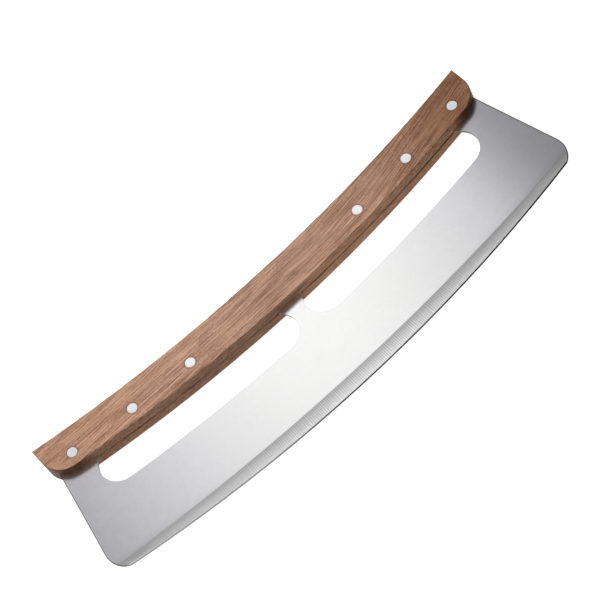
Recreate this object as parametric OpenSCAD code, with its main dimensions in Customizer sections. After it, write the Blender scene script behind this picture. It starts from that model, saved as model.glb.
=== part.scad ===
// Rocking pizza knife. One stainless blade with a curved cutting edge and two finger windows
// is held between two wooden scales by flush two-part rivets.
// The knife lies on its back. X runs along the knife, +Y is the top of the handle and +Z faces
// the viewer. The origin is the middle of the grip, on the rear scale's flat face.
// All sizes are in millimetres.

/* [Handle] */
// Length of the wooden handle, end to end
handle_l = 336; // [320:0.5:380]
// Width of the handle at mid length
handle_w = 26.2; // [24:0.1:32]
// Radius of the hollow top edge of the handle
handle_top_r = 981; // [900:1:1200]
// Radius of the rounded bottom edge of the handle
handle_low_r = 910; // [850:1:1100]
// Radius of the handle's two lower corners
handle_corner_r = 16.4; // [12:0.1:18]
// Thickness of one wooden scale
scale_t = 6.65; // [5:0.05:9]
// Radius of the eased edges round a scale's outer face
edge_round_r = 0.8; // [0.4:0.1:2]

/* [Blade] */
// Thickness of the blade's steel sheet
blade_t = 1.6; // [1.2:0.1:2.5]
// Depth of the blade below the handle at mid length
blade_depth = 73.8; // [64:0.2:90]
// Radius of the curved cutting edge
edge_r = 918; // [850:1:1100]
// Lean of the blade's sides, outwards towards the cutting edge, in degrees
side_lean = 11.3; // [8:0.1:14]
// Distance from the handle's end to the blade's side, at the height of the handle's corner centres
neck_inset = 5; // [4:0.1:8]
// Radius of the blade's two lower corners
foot_r = 15.2; // [11:0.1:18]
// Distance that the round of a lower corner would reach past the cutting edge
foot_overrun = 0.85; // [0.2:0.05:1.5]

/* [Ground edge] */
// Width of the hollow grind at mid length
grind_w = 10.4; // [8:0.1:14]
// Radius of the line where the hollow grind starts
grind_line_r = 1318; // [1100:1:1600]
// Thickness of the steel at the foot of the hollow grind
grind_foot_t = 0.6; // [0.4:0.05:1]
// Width of the small bevel that sharpens the edge
keen_w = 0.7; // [0.4:0.1:1.2]
// Thickness left at the very edge
keen_t = 0.2; // [0.1:0.05:0.3]

/* [Finger windows] */
// Width of a finger window across its curve
window_w = 26.8; // [22:0.1:28]
// Distance from a window's inner end to its outer end
window_l = 142.1; // [120:0.1:146]
// Width of the steel web between the two windows
window_gap = 10.6; // [8:0.1:20]
// Radius of the windows' centre line
window_line_r = 973; // [900:1:1150]
// Height of the windows' upper edge that is hidden behind the handle at mid length
window_tuck = 3.3; // [1:0.1:4]

/* [Rivets] */
// Number of rivets on each side of the middle
rivets_per_side = 3; // [1:1:3]
// Distance between neighbouring rivets along the knife
rivet_pitch = 42.4; // [34:0.1:48]
// Distance from the handle's end to the outer rivet's centre
rivet_end_inset = 16.95; // [14:0.05:22]
// Height of the rivets' line above the handle's bottom edge at mid length
rivet_rise = 9.55; // [9:0.05:12]
// Radius of the line that the rivets follow
rivet_line_r = 995; // [900:1:1150]
// Diameter of a rivet head
head_d = 6.7; // [5.5:0.1:8]
// Thickness of a rivet head
head_t = 1.2; // [0.8:0.1:1.8]
// Width of the small chamfer round a head's outer face
head_chamfer = 0.15; // [0.05:0.05:0.3]
// Outer diameter of a rivet's tube half
tube_d = 4; // [3.4:0.1:4.8]
// Diameter of the pin half that is pressed into the tube
pin_d = 2.4; // [1.8:0.1:2.6]

/* [Fits] */
// Gap round a rivet head in its recess
head_gap = 0.12; // [0.05:0.01:0.3]
// Gap round a rivet tube in the wood and the steel
tube_gap = 0.1; // [0.05:0.01:0.3]
// Gap round a pin in its tube
pin_gap = 0.04; // [0.02:0.01:0.1]
// Gap left beyond the end of the tube and beyond the end of the pin
end_gap = 0.5; // [0.3:0.1:1]

/* [Hidden] */
// Facets of the long arcs and of the small rounds
long_fn = 720;
small_fn = 96;
// Spare length by which a cut runs past a face
past = 1;
// Distance by which a round reaches past the long arc that it runs into, so that the two cross
overlap = 0.03;

half_l = handle_l / 2;
stack_t = 2 * scale_t + blade_t;
front_z = scale_t + blade_t;
blade_z = scale_t;

// Handle outline: heights at mid length, arc centres and the centre of a lower corner
handle_top_y = handle_w / 2;
handle_low_y = -handle_w / 2;
handle_top_c = handle_top_y + handle_top_r;
handle_low_c = handle_low_y + handle_low_r;
corner_x = half_l - handle_corner_r + overlap;
corner_reach = handle_low_r - handle_corner_r + overlap;
corner_y = handle_low_c - sqrt(corner_reach ^ 2 - corner_x ^ 2);
corner_a = asin(corner_x / corner_reach);
field_low_y = handle_low_y - past;
field_top_y = handle_top_c - sqrt(handle_top_r ^ 2 - half_l ^ 2) + past;

// Blade outline: the centre of a lower corner lies on a line beside the leaning side,
// where its round reaches past the cutting edge by foot_overrun
edge_y = handle_low_y - blade_depth;
edge_c = edge_y + edge_r;
side_dir = [sin(side_lean), -cos(side_lean)];
neck = [half_l - neck_inset, corner_y];
foot_line = neck - [foot_r / cos(side_lean), 0];
foot_reach = edge_r - foot_r + foot_overrun;
from_c = foot_line - [0, edge_c];
along = from_c * side_dir;
foot = foot_line + (sqrt(along ^ 2 - from_c * from_c + foot_reach ^ 2) - along) * side_dir;
side_end = foot + foot_r * [cos(side_lean), sin(side_lean)];

// Ground edge
grind_c = edge_y + grind_w + grind_line_r;
grind_deep = (blade_t - grind_foot_t) / 2;
grind_wheel_r = (grind_w ^ 2 + grind_deep ^ 2) / (2 * grind_deep);
keen_slope = (grind_foot_t - keen_t) / 2 / keen_w;

// Finger windows
window_c = handle_low_y + window_tuck - window_w / 2 + window_line_r;
window_in_a = asin((window_gap + window_w) / 2 / window_line_r);
window_out_a = asin((window_gap / 2 + window_l - window_w / 2) / window_line_r);

// Rivets, from left to right
rivet_c = handle_low_y + rivet_rise + rivet_line_r;
right_xs = [for (k = [rivets_per_side - 1 : -1 : 0]) half_l - rivet_end_inset - k * rivet_pitch];
left_xs = [for (k = [rivets_per_side - 1 : -1 : 0]) -right_xs[k]];
rivet_xs = concat(left_xs, right_xs);
rivet_count = len(rivet_xs);
tube_hole_d = tube_d + 2 * tube_gap;
head_hole_d = head_d + 2 * head_gap;
bore_d = pin_d + 2 * pin_gap;

// Point on an arc that is centred above the knife, at an angle from straight down
function on_arc(r, c, a) = [r * sin(a), c - r * cos(a)];
function rivet_at(x) = [x, rivet_c - sqrt(rivet_line_r ^ 2 - x ^ 2)];

// Copies its children to the left side as well
module both_sides() {
    children();
    mirror([1, 0, 0]) children();
}

// Flat outline of the handle, which the scales and the tang share
module handle_outline() {
    difference() {
        intersection() {
            translate([0, handle_low_c]) circle(handle_low_r, $fn = long_fn);
            translate([-half_l, field_low_y]) square([handle_l, field_top_y - field_low_y]);
            union() {
                corners_field();
                both_sides() translate([corner_x, corner_y]) circle(handle_corner_r, $fn = small_fn);
            }
        }
        translate([0, handle_top_c]) circle(handle_top_r, $fn = long_fn);
    }
}

// Field that leaves out only the two lower corners, where the rounds are. Its sides run from a
// corner's centre square to the handle's end and square to its bottom edge.
module corners_field() {
    side = on_arc(handle_low_r / cos(corner_a) + past, handle_low_c, corner_a);
    end_x = half_l + past;
    polygon([
        [-end_x, field_top_y], [-end_x, corner_y], [-corner_x, corner_y], [-side.x, side.y],
        side, [corner_x, corner_y], [end_x, corner_y], [end_x, field_top_y]
    ]);
}

// Sliver that easing takes off a section's outer corner, with that corner at the origin
module ease_waste() {
    translate([-edge_round_r, -edge_round_r]) {
        difference() {
            square(edge_round_r + past);
            circle(edge_round_r, $fn = small_fn);
        }
    }
}

// Disc as thick as a scale, with its upper rim eased
module eased_disc(r, fn) {
    rotate_extrude($fn = fn) {
        difference() {
            square([r, scale_t]);
            translate([r, scale_t]) ease_waste();
        }
    }
}

// Block as long and as thick as a scale, with the upper edges of its two ends eased
module eased_length() {
    translate([0, field_top_y, 0]) rotate([90, 0, 0]) linear_extrude(field_top_y - field_low_y) {
        difference() {
            translate([-half_l, 0]) square([handle_l, scale_t]);
            both_sides() translate([half_l, scale_t]) ease_waste();
        }
    }
}

// Cutter for the hollow top edge, which flares at the outer face to ease it
module top_cutter() {
    rotate_extrude($fn = long_fn) {
        translate([0, -past]) square([handle_top_r, scale_t + 2 * past]);
        translate([handle_top_r, scale_t]) mirror([1, 0]) ease_waste();
    }
}

// A scale with its inner face at height 0 and its outer edges eased
module scale_blank() {
    difference() {
        intersection() {
            translate([0, handle_low_c, 0]) eased_disc(handle_low_r, long_fn);
            eased_length();
            union() {
                linear_extrude(scale_t) corners_field();
                both_sides() translate([corner_x, corner_y, 0]) eased_disc(handle_corner_r, small_fn);
            }
        }
        translate([0, handle_top_c, 0]) top_cutter();
    }
}

// Scale with its rivet holes, each with a recess for a head in the outer face
module drilled_scale() {
    difference() {
        scale_blank();
        for (x = rivet_xs) {
            translate(concat(rivet_at(x), -past)) {
                cylinder(d = tube_hole_d, h = scale_t + 2 * past, $fn = small_fn);
            }
            translate(concat(rivet_at(x), scale_t - head_t)) {
                cylinder(d = head_hole_d, h = head_t + past, $fn = small_fn);
            }
        }
    }
}

module front_scale() {
    color([0.62, 0.44, 0.33]) translate([0, 0, front_z]) drilled_scale();
}

module rear_scale() {
    color([0.58, 0.41, 0.3]) translate([0, 0, scale_t]) mirror([0, 0, 1]) drilled_scale();
}

// Flat outline of the blade, from inside the handle down to the curved edge
module blade_outline() {
    intersection() {
        translate([0, edge_c]) circle(edge_r, $fn = long_fn);
        both_sides() {
            polygon([[0, 0], neck, side_end, foot, [foot.x, edge_y], [0, edge_y]]);
            translate(foot) circle(foot_r, $fn = small_fn);
        }
    }
}

// One finger window, on the right side: a slot with round ends that follows an arc
module window_outline() {
    reach = window_line_r + window_w;
    intersection() {
        translate([0, window_c]) {
            difference() {
                circle(window_line_r + window_w / 2, $fn = long_fn);
                circle(window_line_r - window_w / 2, $fn = long_fn);
            }
        }
        union() {
            polygon([
                [0, window_c],
                on_arc(reach, window_c, window_in_a),
                on_arc(reach, window_c, window_out_a)
            ]);
            for (end_a = [window_in_a, window_out_a]) {
                translate(on_arc(window_line_r, window_c, end_a)) {
                    circle(window_w / 2 + overlap, $fn = small_fn);
                }
            }
        }
    }
}

// Cutter for one face's hollow grind, with the blade's middle plane at height 0
module grind_cutter() {
    foot_at = grind_line_r + grind_w;
    rotate_extrude($fn = long_fn) {
        intersection() {
            translate([foot_at, grind_foot_t / 2 + grind_wheel_r]) circle(grind_wheel_r, $fn = long_fn);
            translate([grind_line_r - grind_w, 0]) square([2 * grind_w, blade_t]);
        }
        translate([foot_at, grind_foot_t / 2]) square([grind_w, blade_t]);
    }
}

// Cutter for one face's sharpening bevel
module keen_cutter() {
    rotate_extrude($fn = long_fn) {
        polygon([
            [edge_r - 2 * keen_w, keen_t / 2 + 2 * keen_w * keen_slope],
            [edge_r + keen_w, keen_t / 2 - keen_w * keen_slope],
            [edge_r + keen_w, blade_t],
            [edge_r - 2 * keen_w, blade_t]
        ]);
    }
}

module blade_sheet() {
    translate([0, 0, -blade_t / 2]) {
        linear_extrude(blade_t) {
            difference() {
                union() {
                    handle_outline();
                    blade_outline();
                }
                both_sides() window_outline();
                for (x = rivet_xs) {
                    translate(rivet_at(x)) circle(d = tube_hole_d, $fn = small_fn);
                }
            }
        }
    }
}

module blade() {
    color([0.8, 0.8, 0.82]) translate([0, 0, blade_z + blade_t / 2]) {
        difference() {
            blade_sheet();
            for (face = [0, 1]) {
                mirror([0, 0, face]) {
                    translate([0, grind_c, 0]) grind_cutter();
                    translate([0, edge_c, 0]) keen_cutter();
                }
            }
        }
    }
}

// Rivet head with its outer face at height 0, pointing down
module rivet_head() {
    cylinder(d1 = head_d - 2 * head_chamfer, d2 = head_d, h = head_chamfer, $fn = small_fn);
    translate([0, 0, head_chamfer]) cylinder(d = head_d, h = head_t - head_chamfer, $fn = small_fn);
}

// Tube half of a rivet: its head lies in the front scale and its tube runs through the blade
module rivet_tube(i) {
    tube_l = stack_t - head_t - end_gap;
    color([0.9, 0.9, 0.91]) translate(concat(rivet_at(rivet_xs[i - 1]), stack_t)) mirror([0, 0, 1]) {
        difference() {
            union() {
                rivet_head();
                cylinder(d = tube_d, h = tube_l, $fn = small_fn);
            }
            translate([0, 0, head_t]) cylinder(d = bore_d, h = tube_l, $fn = small_fn);
        }
    }
}

// Pin half of a rivet: its head lies in the rear scale and its pin is pressed into the tube
module rivet_pin(i) {
    color([0.88, 0.88, 0.9]) translate(concat(rivet_at(rivet_xs[i - 1]), 0)) {
        rivet_head();
        cylinder(d = pin_d, h = stack_t - head_t - end_gap, $fn = small_fn);
    }
}

blade();
front_scale();
rear_scale();
for (i = [1 : rivet_count]) {
    rivet_tube(i);
    rivet_pin(i);
}
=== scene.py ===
import math

import bpy
from mathutils import Matrix, Vector

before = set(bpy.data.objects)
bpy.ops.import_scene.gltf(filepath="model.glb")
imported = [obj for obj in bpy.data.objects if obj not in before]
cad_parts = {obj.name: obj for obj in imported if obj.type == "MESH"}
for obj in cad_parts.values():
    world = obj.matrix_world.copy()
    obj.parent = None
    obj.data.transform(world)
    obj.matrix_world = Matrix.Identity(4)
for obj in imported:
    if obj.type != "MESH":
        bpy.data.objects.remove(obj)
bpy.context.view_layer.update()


def rgb(red, green, blue):
    return (red, green, blue, 1.0)


def grey(level):
    return rgb(level, level, level)


# The camera's direction, turn, distance and aim were fitted to the photograph
VIEW_AZIMUTH = math.radians(-12.92)
VIEW_ELEVATION = math.radians(55.98)
VIEW_ROLL = math.radians(-31.75)
VIEW_DISTANCE = 1.4963
VIEW_WIDTH = 0.3514
AIM = Vector((0.0068, -0.0093, -0.0028))
SENSOR_WIDTH = 36.0
CLIP_END = 100.0

# Softboxes by name: azimuth and elevation in degrees, width and height in metres, radiance
SOFTBOXES = {
    "mirror_softbox": (168.0, 54.0, 0.55, 0.45, 1.93),
    "high_softbox": (165.0, 65.0, 0.45, 0.25, 1.66),
    "back_softbox": (-158.0, 27.0, 2.60, 0.90, 1.60),
    "side_softbox": (-105.0, 34.0, 3.40, 1.90, 2.20),
    "fill_softbox": (45.0, 33.0, 2.00, 1.20, 0.80),
    "top_softbox": (0.0, 85.0, 1.20, 1.20, 1.50),
}
LAMP_DISTANCE = 2.0
LIT_POINT = Vector((0.0, -0.03, 0.01))

# Only the lamps between these elevations in degrees are mirrored in the metal
MIRRORED_FROM = 50.0
MIRRORED_TO = 80.0

# The world lights little. The camera and gloss see a dark ceiling with a pale skylight, grey walls and
# a white horizon. Heights are sines of the elevation: each surface starts at the first and is full at
# the second.
WORLD_LEVEL = 0.04
CEILING_LEVEL = 0.12
WALL_LEVEL = 0.50
WALL_HEIGHTS = (0.75, 0.45)
SKYLIGHT_LEVEL = 0.92
SKYLIGHT_HEIGHTS = (0.94, 0.98)
HORIZON_LEVEL = 1.0
HORIZON_HEIGHTS = (0.18, 0.10)

# A pale floor, which glows for the camera and gloss alone, so that it shows white and keeps a shadow
FLOOR_HALF = 20.0
FLOOR_COLOR = grey(0.68)
FLOOR_GLOW = 0.78

# All lengths in the materials are in millimetres, except the depths of their bumps, in metres
MILLIMETRES_PER_METRE = 1000.0

# Outline arcs, as in the model: middle on the Y axis, and radius
GRIND_LINE = (1241.5, 1318.0)
EDGE_MIDDLE = 831.1
EDGE_RADIUS = 918.0
HANDLE_EDGE = (896.9, 910.0)

# The blade's leaning side, and the middle and radius of its round lower corner, as in the model
SIDE_LEAN = math.radians(11.3)
FOOT_X = 162.27
FOOT_Y = -57.84
FOOT_RADIUS = 15.2

# Rivet places on one half of the handle, as in the model: the arc they follow, and their X
RIVET_LINE_MIDDLE = 991.45
RIVET_LINE_RADIUS = 995.0
RIVET_XS = (66.25, 108.65, 151.05)

# Most values of a noise lie in this range, about this middle
NOISE_RANGE = (0.3, 0.7)
NOISE_MIDDLE = 0.5

# X from the left end's look to the right end's, on the blade and on the handle's corners
LEFT_TO_RIGHT = (-100.0, 100.0)

# Where the looks of the steel change, by distance from the knife's middle
ENDS = (50.0, 155.0)
# Where the painted shade and light at the ends of the flat begin and are full
SHADED_ENDS = (112.0, 168.0)
WEAK_RIBS = (60.0, 150.0)

# By distance past the grind line
GRIND_LINE_SHADE_DEPTH = (-5.5, 0.0)
GRIND_START = (-0.1, 0.4)
GRIND_UPPER = (0.0, 5.0)
GRIND_LOWER = (4.0, 9.5)

# By distance past the honed edge's inner line, past the blade's side, and past the handle's edge
KEEN_WIDTH = 0.85
KEEN_START = (-0.04, 0.04)
RIM_WIDTH = 0.65
RIM_BLUR = 0.1
RIM_START = (-RIM_WIDTH, RIM_BLUR - RIM_WIDTH)
BARE_WALL = (0.2, 0.6)

# By X, and by how far a face points up or down
KEEN_LEFT_TO_MIDDLE = (-110.0, 0.0)
SHEET_TO_WALL = (0.9, 0.5)

# Noises of the steel: cells per millimetre, one number or one for each axis, then detail and roughness
SCRATCH_CELLS = (0.25, 4.0, 1.0)
SCRATCH_NOISE = (3.0, 0.6)
STEEL_GRIT_NOISE = (0.8, 1.0)
CLOUD_NOISE = (0.16, 4.0, 0.6)

# Wheel marks: pitch, drift in radians of their wave, and strength where weakest and at the ends
RIB_PITCH = 1.3
RIB_DRIFT = 10.0
RIB_DRIFT_CELLS = 0.11
RIB_DEPTH_CELLS = 0.6
RIB_WEAKEST = 0.6
RIB_AT_ENDS = 0.4
LINE_CELLS_ALONG = 3.0
LINE_CELLS_ACROSS = 0.05
LINE_NOISE = (2.0, 0.6)

# Each noise of the wheel marks is read in its own plane, so that they differ
DRIFT_PLANE = 0.0
DEPTH_PLANE = 5.0
LINE_PLANE = 9.0

# Bump of the steel: the depth in metres that a relief of 1 stands for, and each layer's share
STEEL_RELIEF = 0.00012
CLOUD_RELIEF = 0.06
SATIN_RELIEF = 0.04
RIB_RELIEF = 0.04
LINE_RELIEF = 0.03

# Shares in which the steel's layers mix, and the noise values between its two colours
SATIN_GRIT = 0.5
MOTTLE_GRIT = 0.4
MOTTLE_RANGE = (0.35, 0.65)
LINE_SHARE = 0.3
LIT_GRIND_END_SHARE = 0.6

# Colours of the steel, each pair from low to high noise, from the left end to the right, or outwards
MIDDLE_COLORS = (rgb(0.790, 0.788, 0.785), rgb(0.816, 0.815, 0.812))
OUTER_COLORS = (rgb(0.848, 0.834, 0.872), rgb(0.886, 0.875, 0.908))
# Painted shade in a band above the grind line towards the ends, in place of a softer bend
GRIND_LINE_SHADE_TINT = grey(0.92)
# Painted shade at the right end of the flat and a touch of painted light at its left end
END_SHADE_TINTS = (grey(1.04), rgb(0.67, 0.67, 0.68))
RIB_COLORS = (grey(0.56), grey(0.90))
LINE_COLOR = grey(0.80)
# Painted light on the grind towards its ends, stronger at the left end, above 1
LIT_GRIND_END_COLORS = (grey(1.14), grey(1.02))
# Painted shading of the hollow grind: darker by its line, paler towards the edge, above 1 there
GRIND_SHADING_TINTS = (grey(0.81), grey(1.0), grey(1.09))
# Painted dark reflection on the honed edge, lighter at the left end
KEEN_REFLECTION_COLORS = (rgb(0.34, 0.34, 0.35), rgb(0.06, 0.06, 0.065))
# A rim of painted dark reflection along the blade's side and round corner, in place of a rounded edge
RIM_REFLECTION_COLORS = (rgb(0.45, 0.42, 0.40), rgb(0.20, 0.20, 0.21))
# Cut walls: dark brown painted shade where they lie in the handle's seam, their own dull colour where
# bare
SEAM_SHADE_AND_WALL_COLORS = (rgb(0.055, 0.038, 0.028), rgb(0.14, 0.135, 0.13))

# Roughness of the steel
FLAT_ROUGH = (0.278, 0.292)
GRIND_ROUGH = (0.28, 0.32)
KEEN_ROUGH = 0.2
WALL_ROUGH = 0.5

# The grain runs along X, turns up between two X, keeps that slope past them, and sways a little
GRAIN_TURN_FROM = 20.0
GRAIN_TURN_TO = 110.0
GRAIN_SLOPE = 0.25
GRAIN_RISE = GRAIN_SLOPE * (GRAIN_TURN_TO - GRAIN_TURN_FROM) / 2.0
SWAY_CELLS = (0.012, 0.05, 0.05)
SWAY_WIDTH = 5.0

# Fibres of the wood: length and width in millimetres, detail, roughness
FIBRES = {
    "bands": (120.0, 5.0, 3.0, 0.6),
    "streaks": (45.0, 0.65, 2.0, 0.6),
    "silk": (18.0, 0.3, 1.0),
    "grit": (1.3, 0.4, 2.0, 0.6),
    "pores": (16.0, 0.42, 1.0),
    "crowd": (60.0, 4.0, 1.0),
}

# Noises of the wood that don't follow its fibres: cells per millimetre along each axis
TONE_CELLS = (0.025, 0.09, 0.09)
CURL_CELLS = (0.35, 0.25, 0.25)
CURL_START = (40.0, 120.0)

# Where the wood's mean lies between its dark and light colour, and how strongly each noise swings it
WOOD_MEAN = 0.5
SWINGS = {"tone": 0.6, "bands": 0.7, "streaks": 1.7, "silk": 2.9, "grit": 2.4}
CURL_SWING = 0.6

# Pores are the high parts of one noise, and grow faint where another is low
PORE_CUT = (0.57, 0.67)
CROWD_CUT = (0.40, 0.62)
LONE_PORES = 0.3
PORE_SHARE = 0.6

# Colours of the wood
WOOD_COLORS = (rgb(0.316, 0.163, 0.101), rgb(0.790, 0.480, 0.347))
WARM_COLOR = rgb(0.575, 0.345, 0.210)
WARM_TONES = (0.45, 0.75)
WARM_SHARE = 0.5
PORE_COLOR = rgb(0.150, 0.068, 0.040)

# Tints of the wood, and where they lie: by X, by distance, or by the way a face points
# Darker right end, partly heartwood and partly painted shade of light falling off to the right, less on
# the sides
HEART_AND_SHADE_TINT = rgb(0.56, 0.475, 0.39)
HEART_AND_SHADE_START = (48.0, 158.0)
HEART_AND_SHADE_LESS_ON_SIDES = 0.45
LEFT_TINT = rgb(0.97, 0.94, 0.89)
LEFT_START = (-60.0, -170.0)
END_GRAIN_TINT = rgb(0.50, 0.42, 0.34)
END_GRAIN_FACING = (0.25, 0.7)
# Sides deeper in colour, with painted shade on the left half and painted light on the right half
SIDE_SHADE_TINTS = (rgb(0.71, 0.65, 0.575), rgb(1.05, 0.95, 0.81))
SIDE_SHADE_CHANGE = (-20.0, 30.0)
SIDE_FACING = (0.4, 0.9)
# Painted shade on the walls near the handle's ends, deepest at the right end
CORNER_SHADE_TINTS = (rgb(0.40, 0.37, 0.35), rgb(0.22, 0.19, 0.17))
CORNER_SHADE_START = (143.0, 154.0)
CORNER_SHADE_FACING = (0.7, 0.4)
# A darker ring in the wood round each rivet
RIVET_RING_TINT = rgb(0.72, 0.70, 0.68)
RIVET_RING_REACH = (4.8, 3.3)

# Finish of the wood
WOOD_ROUGH = (0.56, 0.48)
PORE_ROUGH = 0.18
WOOD_SPECULAR = 0.15
WOOD_RELIEF = 0.00012
WOOD_BUMP = 0.6
SILK_RELIEF = 0.35

# Rivets: sanding marks, rim and finish
SANDING_CELLS = (0.8, 6.0, 1.0)
SANDING_NOISE = (3.0, 0.6)
RIVET_RIM = (2.9, 3.35)
RIVET_COLORS = (rgb(0.99, 0.99, 0.995), rgb(0.72, 0.66, 0.62))
RIVET_ROUGH = (0.28, 0.36)
RIVET_METALLIC = 0.6
RIVET_RELIEF = 0.0001
RIVET_BUMP = 0.2


def aimed_matrix(back, roll):
    """Turns an object's Z to back, with its X level and then rolled."""
    level = Vector((0.0, 0.0, 1.0)).cross(back).normalized()
    steep = back.cross(level)
    right = math.cos(roll) * level + math.sin(roll) * steep
    up = back.cross(right)
    return Matrix((right, up, back)).transposed()


def direction(azimuth, elevation):
    """Direction from the knife, with azimuth 0 at the cutting edge's side and 90 at +X."""
    flat = math.cos(elevation)
    return Vector((math.sin(azimuth) * flat, -math.cos(azimuth) * flat, math.sin(elevation)))


def place(obj, target, back, distance, roll=0.0):
    """Puts a camera or lamp at a distance from a target, facing it."""
    turn = aimed_matrix(back, roll)
    obj.matrix_world = Matrix.Translation(target + distance * back) @ turn.to_4x4()


def make_camera():
    data = bpy.data.cameras.new("camera")
    data.sensor_width = SENSOR_WIDTH
    data.lens = SENSOR_WIDTH * VIEW_DISTANCE / VIEW_WIDTH
    data.clip_end = CLIP_END
    camera = bpy.data.objects.new("camera", data)
    bpy.context.scene.collection.objects.link(camera)
    place(camera, AIM, direction(VIEW_AZIMUTH, VIEW_ELEVATION), VIEW_DISTANCE, VIEW_ROLL)
    bpy.context.scene.camera = camera


def make_softbox(name, azimuth, elevation, width, height, radiance):
    data = bpy.data.lights.new(name, "AREA")
    data.shape = "RECTANGLE"
    data.size = width
    data.size_y = height
    data.energy = radiance * math.pi * width * height
    lamp = bpy.data.objects.new(name, data)
    bpy.context.scene.collection.objects.link(lamp)
    back = direction(math.radians(azimuth), math.radians(elevation))
    place(lamp, LIT_POINT, back, LAMP_DISTANCE)
    lamp.visible_camera = False
    lamp.visible_glossy = MIRRORED_FROM < elevation < MIRRORED_TO


class Shade:
    """A node tree, with a short call for each kind of node."""

    # The mix node's own numbers for its colour sockets
    FIRST_COLOR = 6
    SECOND_COLOR = 7
    MIXED_COLOR = 2

    def __init__(self, tree):
        self.tree = tree

    def link(self, value, socket):
        """Gives a socket another node's output, or a plain number or colour."""
        if isinstance(value, bpy.types.NodeSocket):
            self.tree.links.new(value, socket)
        else:
            socket.default_value = value

    def node(self, kind, settings=None, **inputs):
        made = self.tree.nodes.new(kind)
        for name, value in (settings or {}).items():
            setattr(made, name, value)
        for name, value in inputs.items():
            self.link(value, made.inputs[name.replace("_", " ")])
        return made

    def calc(self, operation, *values, clamp=False):
        made = self.node("ShaderNodeMath", {"operation": operation, "use_clamp": clamp})
        for value, socket in zip(values, made.inputs):
            self.link(value, socket)
        return made.outputs[0]

    def vector(self, operation, *values):
        made = self.node("ShaderNodeVectorMath", {"operation": operation})
        for value, socket in zip(values, made.inputs):
            self.link(value, socket)
        return made.outputs["Value" if operation in ("LENGTH", "DOT_PRODUCT") else "Vector"]

    def join(self, x, y, z):
        return self.node("ShaderNodeCombineXYZ", X=x, Y=y, Z=z).outputs["Vector"]

    def apart(self, vector):
        """The X, Y and Z of a vector."""
        made = self.node("ShaderNodeSeparateXYZ", Vector=vector)
        return made.outputs[0], made.outputs[1], made.outputs[2]

    def millimetres(self):
        """The part's own coordinates in millimetres."""
        own = self.node("ShaderNodeTexCoord").outputs["Object"]
        settings = {"operation": "SCALE"}
        made = self.node("ShaderNodeVectorMath", settings, Vector=own, Scale=MILLIMETRES_PER_METRE)
        return made.outputs["Vector"]

    def span(self, value, low, high, to_low=0.0, to_high=1.0):
        """Maps low..high smoothly onto to_low..to_high."""
        settings = {"interpolation_type": "SMOOTHSTEP"}
        made = self.node("ShaderNodeMapRange", settings, Value=value, From_Min=low, From_Max=high,
                         To_Min=to_low, To_Max=to_high)
        return made.outputs["Result"]

    def noise(self, where, scale, detail=2.0, roughness=0.5):
        made = self.node("ShaderNodeTexNoise", Vector=where, Scale=scale, Detail=detail,
                         Roughness=roughness)
        return made.outputs["Fac"]

    def drawn_noise(self, where, cells, detail=2.0, roughness=0.5):
        """Noise with its own number of cells along each axis."""
        return self.noise(self.vector("MULTIPLY", where, cells), 1.0, detail, roughness)

    def swing(self, noise, amount, rest):
        """Adds a noise's departure from its middle to another number."""
        return self.calc("MULTIPLY_ADD", self.calc("SUBTRACT", noise, NOISE_MIDDLE), amount, rest)

    def mix(self, factor, first, second, blend="MIX"):
        """Mixes two colours."""
        made = self.node("ShaderNodeMix", {"data_type": "RGBA", "blend_type": blend}, Factor=factor)
        self.link(first, made.inputs[self.FIRST_COLOR])
        self.link(second, made.inputs[self.SECOND_COLOR])
        return made.outputs[self.MIXED_COLOR]

    def mix_value(self, factor, first, second):
        """Mixes two numbers."""
        return self.node("ShaderNodeMix", Factor=factor, A=first, B=second).outputs[0]

    def bump(self, height, distance, strength=1.0):
        made = self.node("ShaderNodeBump", Height=height, Distance=distance, Strength=strength)
        return made.outputs["Normal"]

    def seen(self):
        """1 on camera, glossy and transmission rays, 0 on the rays that light other surfaces."""
        path = self.node("ShaderNodeLightPath").outputs
        mirrored = self.calc("ADD", path["Is Glossy Ray"], path["Is Transmission Ray"])
        return self.calc("ADD", path["Is Camera Ray"], mirrored, clamp=True)


class Surface(Shade):
    """A new material, and the nodes of its own principled shader."""

    def __init__(self, name):
        self.material = bpy.data.materials.new(name)
        self.material.use_nodes = True
        super().__init__(self.material.node_tree)
        self.shader = self.tree.nodes["Principled BSDF"]

    def finish(self, **inputs):
        for name, value in inputs.items():
            self.link(value, self.shader.inputs[name.replace("_", " ")])
        return self.material


def make_world():
    world = bpy.data.worlds.new("studio")
    world.use_nodes = True
    shade = Shade(world.node_tree)
    toward = shade.node("ShaderNodeTexCoord").outputs["Generated"]
    _, _, height = shade.apart(toward)
    shown = shade.span(height, *WALL_HEIGHTS, CEILING_LEVEL, WALL_LEVEL)
    shown = shade.span(height, *SKYLIGHT_HEIGHTS, shown, SKYLIGHT_LEVEL)
    shown = shade.span(height, *HORIZON_HEIGHTS, shown, HORIZON_LEVEL)
    background = world.node_tree.nodes["Background"]
    background.inputs["Color"].default_value = grey(1.0)
    shade.link(shade.mix_value(shade.seen(), WORLD_LEVEL, shown), background.inputs["Strength"])
    bpy.context.scene.world = world


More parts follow.
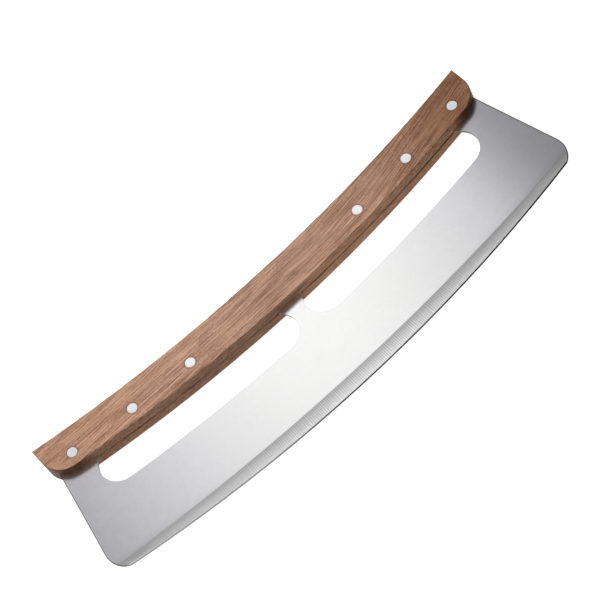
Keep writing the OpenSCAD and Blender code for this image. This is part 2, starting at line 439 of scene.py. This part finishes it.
def make_floor():
    half = FLOOR_HALF
    mesh = bpy.data.meshes.new("floor")
    corners = [(-half, -half, 0), (half, -half, 0), (half, half, 0), (-half, half, 0)]
    mesh.from_pydata(corners, [], [(0, 1, 2, 3)])
    floor = bpy.data.objects.new("floor", mesh)
    bpy.context.scene.collection.objects.link(floor)
    shade = Surface("floor_paper")
    shade.tree.nodes.remove(shade.shader)
    diffuse = shade.node("ShaderNodeBsdfDiffuse", Color=FLOOR_COLOR)
    glow = shade.node("ShaderNodeEmission", Strength=shade.calc("MULTIPLY", shade.seen(), FLOOR_GLOW))
    total = shade.node("ShaderNodeAddShader")
    shade.link(diffuse.outputs[0], total.inputs[0])
    shade.link(glow.outputs[0], total.inputs[1])
    shade.link(total.outputs[0], shade.tree.nodes["Material Output"].inputs["Surface"])
    mesh.materials.append(shade.material)


def arc_depth(shade, x, y, middle, radius):
    """How far a point lies outside an arc about (0, middle)."""
    across = shade.calc("SUBTRACT", y, middle)
    away = shade.vector("LENGTH", shade.join(x, across, 0.0))
    return shade.calc("SUBTRACT", away, radius)


def side_depth(shade, side, y):
    """How far a point lies outside the blade's leaning side and its round corner."""
    from_foot = shade.join(shade.calc("SUBTRACT", side, FOOT_X), shade.calc("SUBTRACT", y, FOOT_Y), 0.0)
    outward = (math.cos(SIDE_LEAN), math.sin(SIDE_LEAN), 0.0)
    downward = (math.sin(SIDE_LEAN), -math.cos(SIDE_LEAN), 0.0)
    out = shade.calc("MAXIMUM", shade.vector("DOT_PRODUCT", from_foot, outward), 0.0)
    past = shade.calc("MAXIMUM", shade.vector("DOT_PRODUCT", from_foot, downward), 0.0)
    return shade.calc("SUBTRACT", shade.vector("LENGTH", shade.join(out, past, 0.0)), FOOT_RADIUS)


def rivet_distance(shade, x, y):
    """Distance in the scales' plane from the middle of the nearest rivet."""
    side = shade.calc("ABSOLUTE", x)
    nearest = None
    for rivet_x in RIVET_XS:
        rivet_y = RIVET_LINE_MIDDLE - math.sqrt(RIVET_LINE_RADIUS ** 2 - rivet_x ** 2)
        gap = shade.join(shade.calc("SUBTRACT", side, rivet_x), shade.calc("SUBTRACT", y, rivet_y), 0.0)
        away = shade.vector("LENGTH", gap)
        nearest = away if nearest is None else shade.calc("MINIMUM", nearest, away)
    return nearest


def facing(shade):
    """How far a face points along X, Y and Z, with no sign."""
    normal = shade.node("ShaderNodeNewGeometry").outputs["Normal"]
    return shade.apart(shade.vector("ABSOLUTE", normal))


def wheel_marks(shade, x, y, ground, side):
    """Even ribs across the grind that drift a little, and the finer lines between them, from 0 to 1."""
    down = shade.calc("SUBTRACT", EDGE_MIDDLE, y)
    along = shade.calc("MULTIPLY", shade.calc("ARCTAN2", x, down), EDGE_RADIUS)

    def line_noise(cells, plane):
        return shade.noise(shade.join(shade.calc("MULTIPLY", along, cells), 0.0, plane), 1.0)

    drift = shade.calc("MULTIPLY", line_noise(RIB_DRIFT_CELLS, DRIFT_PLANE), RIB_DRIFT)
    turns = shade.calc("MULTIPLY_ADD", along, 2.0 * math.pi / RIB_PITCH, drift)
    ribs = shade.calc("MULTIPLY_ADD", shade.calc("SINE", turns), 0.5, 0.5)  # a wave from 0 to 1
    depths = shade.span(line_noise(RIB_DEPTH_CELLS, DEPTH_PLANE), *NOISE_RANGE, RIB_WEAKEST, 1.0)
    ribs = shade.calc("MULTIPLY", ribs, depths)
    ribs = shade.calc("MULTIPLY", ribs, shade.span(side, *WEAK_RIBS, 1.0, RIB_AT_ENDS))

    line_along = shade.calc("MULTIPLY", along, LINE_CELLS_ALONG)
    line_across = shade.calc("MULTIPLY", ground, LINE_CELLS_ACROSS)
    lines = shade.noise(shade.join(line_along, line_across, LINE_PLANE), 1.0, *LINE_NOISE)
    return ribs, lines


def make_steel():
    """Satin sheet with wheel marks across the hollow grind, a honed edge and dull cut walls."""
    shade = Surface("blade_steel")
    where = shade.millimetres()
    x, y, _ = shade.apart(where)
    side = shade.calc("ABSOLUTE", x)
    rightward = shade.span(x, *LEFT_TO_RIGHT)
    ground = arc_depth(shade, x, y, *GRIND_LINE)
    honed = arc_depth(shade, x, y, EDGE_MIDDLE, EDGE_RADIUS - KEEN_WIDTH)
    below_handle = arc_depth(shade, x, y, *HANDLE_EDGE)

    # The grind line is crisp in the middle, with a band of painted shade above it towards the ends
    ends = shade.span(side, *ENDS)
    in_grind = shade.span(ground, *GRIND_START)
    grind_line_shade = shade.calc("MULTIPLY", shade.span(ground, *GRIND_LINE_SHADE_DEPTH), ends)
    in_keen = shade.span(honed, *KEEN_START)
    # Where the rim of painted dark reflection lies
    rim_reflection = shade.span(side_depth(shade, side, y), *RIM_START)
    _, _, along_z = facing(shade)
    on_wall = shade.span(along_z, *SHEET_TO_WALL)

    # Satin: fine scratches along the knife, grit and soft clouds
    scratches = shade.drawn_noise(where, SCRATCH_CELLS, *SCRATCH_NOISE)
    grit = shade.noise(where, *STEEL_GRIT_NOISE)
    clouds = shade.noise(where, *CLOUD_NOISE)
    satin = shade.mix_value(SATIN_GRIT, scratches, grit)
    ribs, lines = wheel_marks(shade, x, y, ground, side)

    flat_relief = shade.calc("MULTIPLY", satin, SATIN_RELIEF)
    flat_relief = shade.calc("MULTIPLY_ADD", clouds, CLOUD_RELIEF, flat_relief)
    wheel_relief = shade.calc("MULTIPLY", lines, LINE_RELIEF)
    wheel_relief = shade.calc("MULTIPLY_ADD", ribs, RIB_RELIEF, wheel_relief)
    normal = shade.bump(shade.mix_value(in_grind, flat_relief, wheel_relief), STEEL_RELIEF)

    # The flat: a mottle that cools towards the ends, painted shade at the right end, faint painted light
    # at the left
    mottle = shade.span(shade.mix_value(MOTTLE_GRIT, clouds, grit), *MOTTLE_RANGE)
    color = shade.mix(ends, shade.mix(mottle, *MIDDLE_COLORS), shade.mix(mottle, *OUTER_COLORS))
    color = shade.mix(grind_line_shade, color, GRIND_LINE_SHADE_TINT, "MULTIPLY")
    painted_end_shade = shade.mix(rightward, *END_SHADE_TINTS)
    color = shade.mix(shade.span(side, *SHADED_ENDS), color, painted_end_shade, "MULTIPLY")

    # The grind: ribs fading to the ends, painted light there, painted shade by its line and painted
    # light by the edge
    ribbed = shade.mix(ribs, *RIB_COLORS)
    ribbed = shade.mix(shade.span(lines, *NOISE_RANGE, 0.0, LINE_SHARE), ribbed, LINE_COLOR)
    # Painted light on the grind towards its ends
    painted_end_light = shade.mix(rightward, *LIT_GRIND_END_COLORS)
    ribbed = shade.mix(shade.calc("MULTIPLY", ends, LIT_GRIND_END_SHARE), ribbed, painted_end_light)
    upper, level, lower = GRIND_SHADING_TINTS
    painted_grind_shading = shade.mix(shade.span(ground, *GRIND_UPPER), upper, level)
    painted_grind_shading = shade.mix(shade.span(ground, *GRIND_LOWER), painted_grind_shading, lower)
    ribbed = shade.mix(1.0, ribbed, painted_grind_shading, "MULTIPLY")
    color = shade.mix(in_grind, color, ribbed)

    # Painted dark reflection on the honed edge and side rim; dull cut walls, with dark brown painted
    # shade in the seam
    color = shade.mix(in_keen, color, shade.mix(shade.span(x, *KEEN_LEFT_TO_MIDDLE), *KEEN_REFLECTION_COLORS))
    color = shade.mix(rim_reflection, color, shade.mix(rightward, *RIM_REFLECTION_COLORS))
    color = shade.mix(on_wall, color, shade.mix(shade.span(below_handle, *BARE_WALL), *SEAM_SHADE_AND_WALL_COLORS))

    flat_rough = shade.span(clouds, *NOISE_RANGE, *FLAT_ROUGH)
    rough = shade.mix_value(in_grind, flat_rough, shade.span(lines, *NOISE_RANGE, *GRIND_ROUGH))
    rough = shade.mix_value(in_keen, rough, KEEN_ROUGH)
    rough = shade.mix_value(on_wall, rough, WALL_ROUGH)
    return shade.finish(Base_Color=color, Metallic=1.0, Roughness=rough, Normal=normal)


def along_grain(shade, where):
    """Coordinates in which the wood's grain is straight and runs along X."""
    x, y, z = shade.apart(where)
    turn = shade.node("ShaderNodeMapRange", Value=x, From_Min=GRAIN_TURN_FROM, From_Max=GRAIN_TURN_TO)
    turn = turn.outputs["Result"]
    rise = shade.calc("MULTIPLY", shade.calc("MULTIPLY", turn, turn), GRAIN_RISE)
    past = shade.calc("MAXIMUM", shade.calc("SUBTRACT", x, GRAIN_TURN_TO), 0.0)
    rise = shade.calc("MULTIPLY_ADD", past, GRAIN_SLOPE, rise)
    sway = shade.swing(shade.drawn_noise(where, SWAY_CELLS, 1.0), SWAY_WIDTH, y)
    return shade.join(x, shade.calc("SUBTRACT", sway, rise), z)


def make_wood():
    """Oiled hardwood: fine streaks along the handle that turn up at its right end, pores, soft bands."""
    shade = Surface("scale_wood")
    where = shade.millimetres()
    x, y, _ = shade.apart(where)
    side = shade.calc("ABSOLUTE", x)
    along_x, along_y, along_z = facing(shade)
    grain = along_grain(shade, where)

    layers = {}
    for name, (long, wide, *rest) in FIBRES.items():
        layers[name] = shade.drawn_noise(grain, (1.0 / long, 1.0 / wide, 1.0 / wide), *rest)
    layers["tone"] = shade.drawn_noise(where, TONE_CELLS)
    crowd = shade.span(layers["crowd"], *CROWD_CUT)
    crowd = shade.calc("MULTIPLY_ADD", crowd, 1.0 - LONE_PORES, LONE_PORES)
    pores = shade.calc("MULTIPLY", shade.span(layers["pores"], *PORE_CUT), crowd)
    curl = shade.swing(shade.drawn_noise(where, CURL_CELLS), 1.0, 0.0)
    curl = shade.calc("MULTIPLY", curl, shade.span(x, *CURL_START))

    light = WOOD_MEAN
    for name, amount in SWINGS.items():
        light = shade.swing(layers[name], amount, light)
    light = shade.calc("MULTIPLY_ADD", curl, CURL_SWING, light, clamp=True)
    base = shade.mix(light, *WOOD_COLORS)
    base = shade.mix(shade.span(layers["tone"], *WARM_TONES, 0.0, WARM_SHARE), base, WARM_COLOR)
    base = shade.mix(shade.calc("MULTIPLY", pores, PORE_SHARE), base, PORE_COLOR)

    # Right end darker, partly heartwood and partly painted shade; a darker left end and end grain
    # Sides deeper, painted shade on the left, painted light on the right; painted shade on end walls; a
    # dark ring by rivets
    on_sides = shade.span(along_y, *SIDE_FACING)
    heart_and_shade = shade.calc("MULTIPLY_ADD", on_sides, -HEART_AND_SHADE_LESS_ON_SIDES, 1.0)
    heart_and_shade = shade.calc("MULTIPLY", shade.span(x, *HEART_AND_SHADE_START), heart_and_shade)
    shaded_corner = shade.span(along_z, *CORNER_SHADE_FACING)
    shaded_corner = shade.calc("MULTIPLY", shade.span(side, *CORNER_SHADE_START), shaded_corner)
    tints = (
        (heart_and_shade, HEART_AND_SHADE_TINT),
        (shade.span(x, *LEFT_START), LEFT_TINT),
        (shade.span(along_x, *END_GRAIN_FACING), END_GRAIN_TINT),
        (on_sides, shade.mix(shade.span(x, *SIDE_SHADE_CHANGE), *SIDE_SHADE_TINTS)),
        (shaded_corner, shade.mix(shade.span(x, *LEFT_TO_RIGHT), *CORNER_SHADE_TINTS)),
        (shade.span(rivet_distance(shade, x, y), *RIVET_RING_REACH), RIVET_RING_TINT),
    )
    for amount, tint in tints:
        base = shade.mix(amount, base, tint, "MULTIPLY")

    rough = shade.span(layers["streaks"], *NOISE_RANGE, *WOOD_ROUGH)
    rough = shade.calc("MULTIPLY_ADD", pores, PORE_ROUGH, rough)
    relief = shade.calc("SUBTRACT", shade.calc("MULTIPLY", layers["silk"], SILK_RELIEF), pores)
    normal = shade.bump(relief, WOOD_RELIEF, WOOD_BUMP)
    return shade.finish(Base_Color=base, Roughness=rough, Normal=normal,
                        Specular_IOR_Level=WOOD_SPECULAR)


def make_rivet_metal():
    """Bright rivet metal, sanded flush with the wood, with a darker, browner rim."""
    shade = Surface("rivet_metal")
    where = shade.millimetres()
    x, y, _ = shade.apart(where)
    rim = shade.span(rivet_distance(shade, x, y), *RIVET_RIM)
    color = shade.mix(rim, *RIVET_COLORS)
    sanding = shade.drawn_noise(where, SANDING_CELLS, *SANDING_NOISE)
    rough = shade.span(sanding, *NOISE_RANGE, *RIVET_ROUGH)
    normal = shade.bump(sanding, RIVET_RELIEF, RIVET_BUMP)
    return shade.finish(Base_Color=color, Metallic=RIVET_METALLIC, Roughness=rough, Normal=normal)


make_camera()
make_world()
make_floor()
for name, values in SOFTBOXES.items():
    make_softbox(name, *values)

steel = make_steel()
wood = make_wood()
rivet_metal = make_rivet_metal()
looks = {"blade": steel, "front_scale": wood, "rear_scale": wood}
for name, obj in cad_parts.items():
    obj.data.materials.clear()
    obj.data.materials.append(looks.get(name, rivet_metal))

bpy.context.scene.view_settings.view_transform = "Standard"
